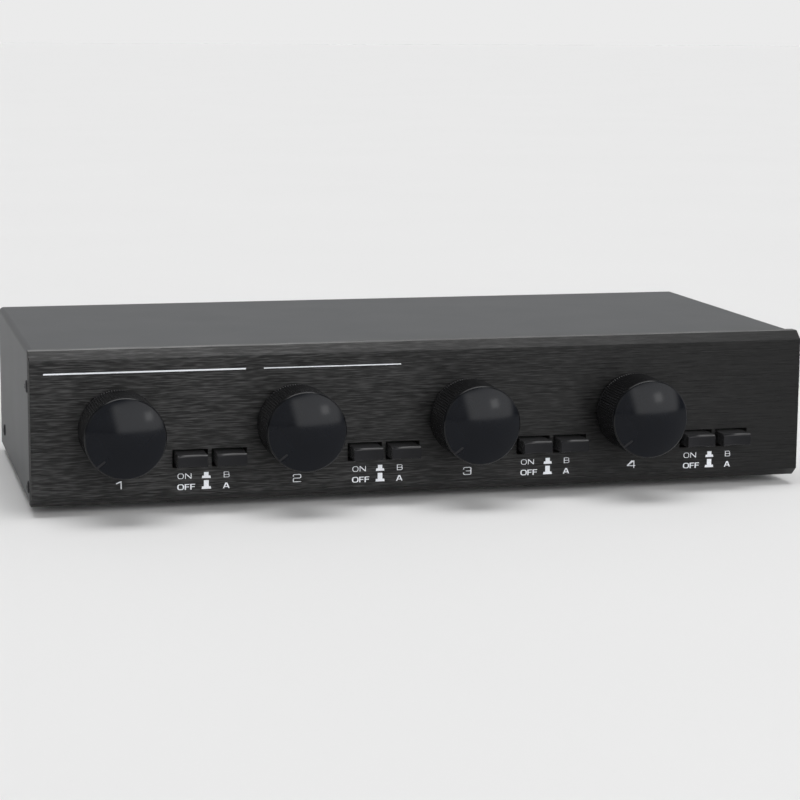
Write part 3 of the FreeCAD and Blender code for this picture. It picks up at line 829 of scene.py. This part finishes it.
def digit_4(w, h, s, t):
    x, bar = w * 0.76, h * 0.28
    return [[(x, 0, 0), (x + s, 0, 0), (x + s, bar, 0), (w, bar, 0), (w, bar + t, 0),
             (x + s, bar + t, 0), (x + s, h, 0), (w * 0.5, h, 0), (0, bar + t * 1.3, 0),
             (0, bar, 0), (x, bar, 0)],
            [(s * 1.5, bar + t, 0), (x, bar + t, 0), (x, h - t * 1.8, 0)]]


def push_symbol(w, h, base):
    """A button seen from above: a block on a wide base, tall when out and short when pushed in."""
    left, right, slope = w / 2 - w * 0.258, w / 2 + w * 0.258, 0.25
    return [[(0, 0, 0), (w, 0, 0), (w - slope, base, 0), (right, base, 0), (right, h, 0),
             (left, h, 0), (left, base, 0), (slope, base, 0)]]


# glyph, width, then x and z of its lower left corner as if in zone 1, from the panel's lower left corner
DIGITS = ((digit_1, 2.9, 44.25, 8.78), (digit_2, 4.6, 44.1, 8.63),
          (digit_3, 4.65, 43.93, 8.62), (digit_4, 4.95, 43.5, 8.47))
# the same with a height and a stroke after the width
MARKS = (
    ("on_mark", ((letter_o, 3.3, ON_H, FINE, 76.87, 12.92), (letter_n, 3.4, ON_H, FINE, 80.88, 12.92))),
    ("off_mark", ((letter_o, 3.65, BOLD_H, BOLD, 76.63, 6.97), (letter_f, 2.55, BOLD_H, BOLD, 80.6, 6.97),
                  (letter_f, 2.6, BOLD_H, BOLD, 83.6, 6.97))),
    ("button_symbols", ((push_symbol, 4.75, 3.29, SYMBOL_BASE, 89.85, 12.87),
                        (push_symbol, 5.1, 4.7, SYMBOL_BASE, 89.65, 7.04))),
    ("b_mark", ((letter_b, 3.1, BOLD_H, FINE, 101.6, 12.86),)),
    ("a_mark", ((letter_a, 3.6, BOLD_H, BOLD, 101.15, 6.95),)),
)


def ink_mesh(name, loops):
    """Flat print, a little proud of the face, from outlines of (x, z) points in panel millimetres."""
    curve = bpy.data.curves.new(name, "CURVE")
    curve.dimensions, curve.fill_mode, curve.extrude = "2D", "BOTH", INK_T / 2 * MM
    for loop in loops:
        spline = curve.splines.new("POLY")
        spline.points.add(len(loop) - 1)
        for point, (x, z) in zip(spline.points, loop):
            point.co = (x * MM, z * MM, 0.0, 1.0)
        spline.use_cyclic_u = True
    mesh = finished_mesh(temporary(curve), name)
    bpy.data.curves.remove(curve)
    mesh.transform(Matrix.Rotation(math.radians(90), 4, "X"))
    solid = bmesh.new()
    solid.from_mesh(mesh)
    bmesh.ops.remove_doubles(solid, verts=solid.verts, dist=0.001 * MM)
    bmesh.ops.recalc_face_normals(solid, faces=solid.faces)
    solid.to_mesh(mesh)
    solid.free()
    for polygon in mesh.polygons:
        polygon.use_smooth = False
    return mesh


def placed(glyph, x, z):
    return [[(px + x, pz + z) for px, pz in outline(loop)] for loop in glyph]


def print_on_panel(name, loops):
    """Lays print whose outlines are measured from the panel's lower left corner on its face."""
    mesh = with_finishes(ink_mesh(name, loops), (INK,))
    piece(name, mesh, "anodised_panel", "case", (PANEL_LOW.x, FACE_Y - INK_T / 2 * MM, PANEL_LOW.z))


def legends():
    """Number, ON, OFF, A, B and button symbols for each zone, and a plain rule in each title's place."""
    for i, (digit, wide, left, foot) in zip(ZONES, DIGITS):
        start = ZONE_PITCH / MM * (i - 1)
        print_on_panel("number_%d" % i, placed(digit(wide, DIGIT_H, *DIGIT_STROKE), start + left, foot))
        for name, glyphs in MARKS:
            loops = []
            for glyph, wide, high, stroke, left, foot in glyphs:
                loops += placed(glyph(wide, high, *stroke), start + left, foot)
            print_on_panel("%s_%d" % (name, i), loops)
    for name, (wide, high, x, z) in (("title_rule", TITLE_RULE), ("second_rule", SECOND_RULE)):
        print_on_panel(name, [outline(box_of(wide, high, 0.0, x, z))])


# ---- rear terminals -----------------------------------------------------------------------------
def plugs():
    """Moulded plugs with slotted clamp screws in their wells."""
    head = slotted_head(*CLAMP_SCREW_HEAD)
    for node in PLUGS:
        low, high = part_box(node)
        body = node + "_body"
        plug = copy_of_node(node, MOULD_ROUND)
        piece(node + "_dressed", plug, "terminal_plastic", body, replaced=(node,))
        middle = (low.x + high.x) / 2
        copies = []
        for i in range(4):
            place = Vector((middle + WIRE_PITCH * (i - 1.5) * MM, high.y - CLAMP_FROM_END * MM,
                            high.z - CLAMP_DEEP * MM))
            spin = Matrix.Rotation(math.radians(40 * i + 9 * PLUGS.index(node)), 4, "Z")
            copies.append((head, Matrix.Translation(place) @ spin))
        piece(node + "_clamp_screws", gathered(node + "_clamp_screws", copies), "plated_steel", body)


def slotted_head(r, high):
    """A flat screw head with a slot, seat at the origin, facing +Z."""
    profile = [(AXIS_R, 0.0), (r, 0.0), (r, high - 0.25), (r - 0.25, high), (AXIS_R, high)]
    half, reach = CLAMP_SLOT_W / 2, r + 0.5
    slot = loft("slot", [[(-half, -reach, z), (half, -reach, z), (half, reach, z), (-half, reach, z)]
                         for z in (high - CLAMP_SLOT_DEEP, high + 0.3)])
    return carved(turned("slotted", profile, 32), [slot])


# ---- studio -------------------------------------------------------------------------------------
PALE = 0.83                                       # the tone of the background and the floor
CAMERA_AT = (-320.78, FACE_Y / MM - 1198.48, 260.56)              # millimetres
CAMERA_YAW, CAMERA_PITCH, CAMERA_ROLL = 14.226, -9.381, 0.397     # degrees
CAMERA_LENS, SENSOR_W = 104.526, 36.0
FLOOR_HALF = 20.0                                 # metres, as in the two lines below
LAMP_AT, LAMP_SIZE, LAMP_POWER = (0.72, -1.2, 0.49), 0.25, 0.75
LAMP_AIM_Z = 0.045
# the room's brightness along an axis: from and to where it changes, and its level before and after
ROOM_STEPS = [((0.0, 1.0, 0.0), -0.6, 0.5, 0.22, PALE), ((0.0, 0.0, 1.0), 0.2, 0.7, 1.0, 0.4),
              ((1.0, 0.0, 0.0), -0.9, -0.1, 0.25, 1.0)]
# azimuth, elevation, half width, half height in degrees, softness of the edge, and strength
LIGHT_PANELS = [(0.0, 89.0, 25.0, 13.0, 0.3, 4.1), (26.0, 20.0, 32.0, 21.0, 0.2, 2.8),
                (-34.0, 22.0, 26.0, 22.0, 0.3, 0.58), (-76.0, 30.0, 14.0, 12.0, 0.5, 0.3)]


def floor():
    mesh = bpy.data.meshes.new("floor")
    half = FLOOR_HALF
    corners = [(-half, -half, 0), (half, -half, 0), (half, half, 0), (-half, half, 0)]
    mesh.from_pydata(corners, [], [(0, 1, 2, 3)])
    f = Finish("floor_paper", Roughness=0.9, Specular_IOR_Level=0.0)
    f.colour(f.blend(f.noise((3.0, 3.0, 3.0), 2.0), grey(PALE * 0.995), grey(PALE * 1.005)))
    mesh.materials.append(f.material)
    obj = bpy.data.objects.new("floor", mesh)
    bpy.context.scene.collection.objects.link(obj)


class Sky:
    """World nodes that give a brightness for each direction."""

    def __init__(self):
        world = bpy.data.worlds.new("studio")
        world.use_nodes = True
        bpy.context.scene.world = world
        self.tree = world.node_tree
        self.background = self.tree.nodes["Background"]
        self.direction = self.tree.nodes.new("ShaderNodeTexCoord").outputs["Generated"]

    def maths(self, operation, *values):
        made = self.tree.nodes.new("ShaderNodeMath")
        made.operation = operation
        for socket, value in zip(made.inputs, values):
            self.put(socket, value)
        return made.outputs["Value"]

    def put(self, socket, value):
        if isinstance(value, bpy.types.NodeSocket):
            self.tree.links.new(value, socket)
        else:
            socket.default_value = value

    def along(self, axis):
        """How far the direction points along an axis."""
        made = self.tree.nodes.new("ShaderNodeVectorMath")
        made.operation = "DOT_PRODUCT"
        self.tree.links.new(self.direction, made.inputs[0])
        made.inputs[1].default_value = axis
        return made.outputs["Value"]

    def step(self, value, start, end, low=0.0, high=1.0):
        made = self.tree.nodes.new("ShaderNodeMapRange")
        made.interpolation_type = "SMOOTHSTEP"
        for name, number in (("Value", value), ("From Min", start), ("From Max", end), ("To Min", low),
                             ("To Max", high)):
            self.put(made.inputs[name], number)
        return made.outputs["Result"]

    def panel(self, azimuth, elevation, half_wide, half_high, soft, strength):
        """A soft-edged light panel. Azimuth is measured from the front towards the right."""
        a, e = math.radians(azimuth), math.radians(elevation)
        ahead = Vector((math.sin(a) * math.cos(e), -math.cos(a) * math.cos(e), math.sin(e)))
        side = Vector((math.cos(a), math.sin(a), 0.0))
        up = ahead.cross(side) if ahead.cross(side).z > 0 else side.cross(ahead)
        depth = self.maths("MAXIMUM", self.along(ahead), 0.001)
        mask = self.step(self.along(ahead), 0.0, 0.05)
        for axis, half in ((side, half_wide), (up, half_high)):
            spread = self.maths("ABSOLUTE", self.maths("DIVIDE", self.along(axis), depth))
            edge = math.tan(math.radians(half))
            inside = self.step(spread, edge * (1 - soft), edge * (1 + soft), 1.0, 0.0)
            mask = self.maths("MULTIPLY", mask, inside)
        return self.maths("MULTIPLY", mask, strength)


def studio_light():
    """A pale room, dimmer in front, above and at the left, with four soft panels and a small lamp.

    One panel is overhead, one in front at the right, and two are at the left.
    """
    sky = Sky()
    total = 1.0
    for axis, *levels in ROOM_STEPS:
        total = sky.maths("MULTIPLY", total, sky.step(sky.along(axis), *levels))
    for light in LIGHT_PANELS:
        total = sky.maths("ADD", total, sky.panel(*light))
    sky.put(sky.background.inputs["Color"], total)
    data = bpy.data.lights.new("lamp", "AREA")
    data.shape, data.size, data.energy = "SQUARE", LAMP_SIZE, LAMP_POWER
    lamp = bpy.data.objects.new("lamp", data)
    bpy.context.scene.collection.objects.link(lamp)
    towards = Vector((0.0, FACE_Y, LAMP_AIM_Z)) - Vector(LAMP_AT)
    turn = towards.to_track_quat("-Z", "Y").to_matrix().to_4x4()
    lamp.matrix_world = Matrix.Translation(LAMP_AT) @ turn


def camera():
    data = bpy.data.cameras.new("camera")
    data.lens, data.sensor_width, data.sensor_fit = CAMERA_LENS, SENSOR_W, "HORIZONTAL"
    data.clip_end = 100.0
    obj = bpy.data.objects.new("camera", data)
    bpy.context.scene.collection.objects.link(obj)
    yaw, pitch, roll = (math.radians(a) for a in (CAMERA_YAW, CAMERA_PITCH, CAMERA_ROLL))
    ahead = Vector((math.sin(yaw) * math.cos(pitch), math.cos(yaw) * math.cos(pitch), math.sin(pitch)))
    level = Vector((math.cos(yaw), -math.sin(yaw), 0.0))
    above = level.cross(ahead)
    right = level * math.cos(roll) + above * math.sin(roll)
    up = above * math.cos(roll) - level * math.sin(roll)
    turn = Matrix((right, up, -ahead)).transposed().to_4x4()
    obj.matrix_world = Matrix.Translation(Vector(CAMERA_AT) * MM) @ turn
    bpy.context.scene.camera = obj


# ---- the whole scene ----------------------------------------------------------------------------
dress_nodes()
case()
cover_screws()
rear_screws()
feet()
knobs()
caps()
legends()
plugs()
floor()
studio_light()
camera()
bpy.context.scene.view_settings.view_transform = "Standard"
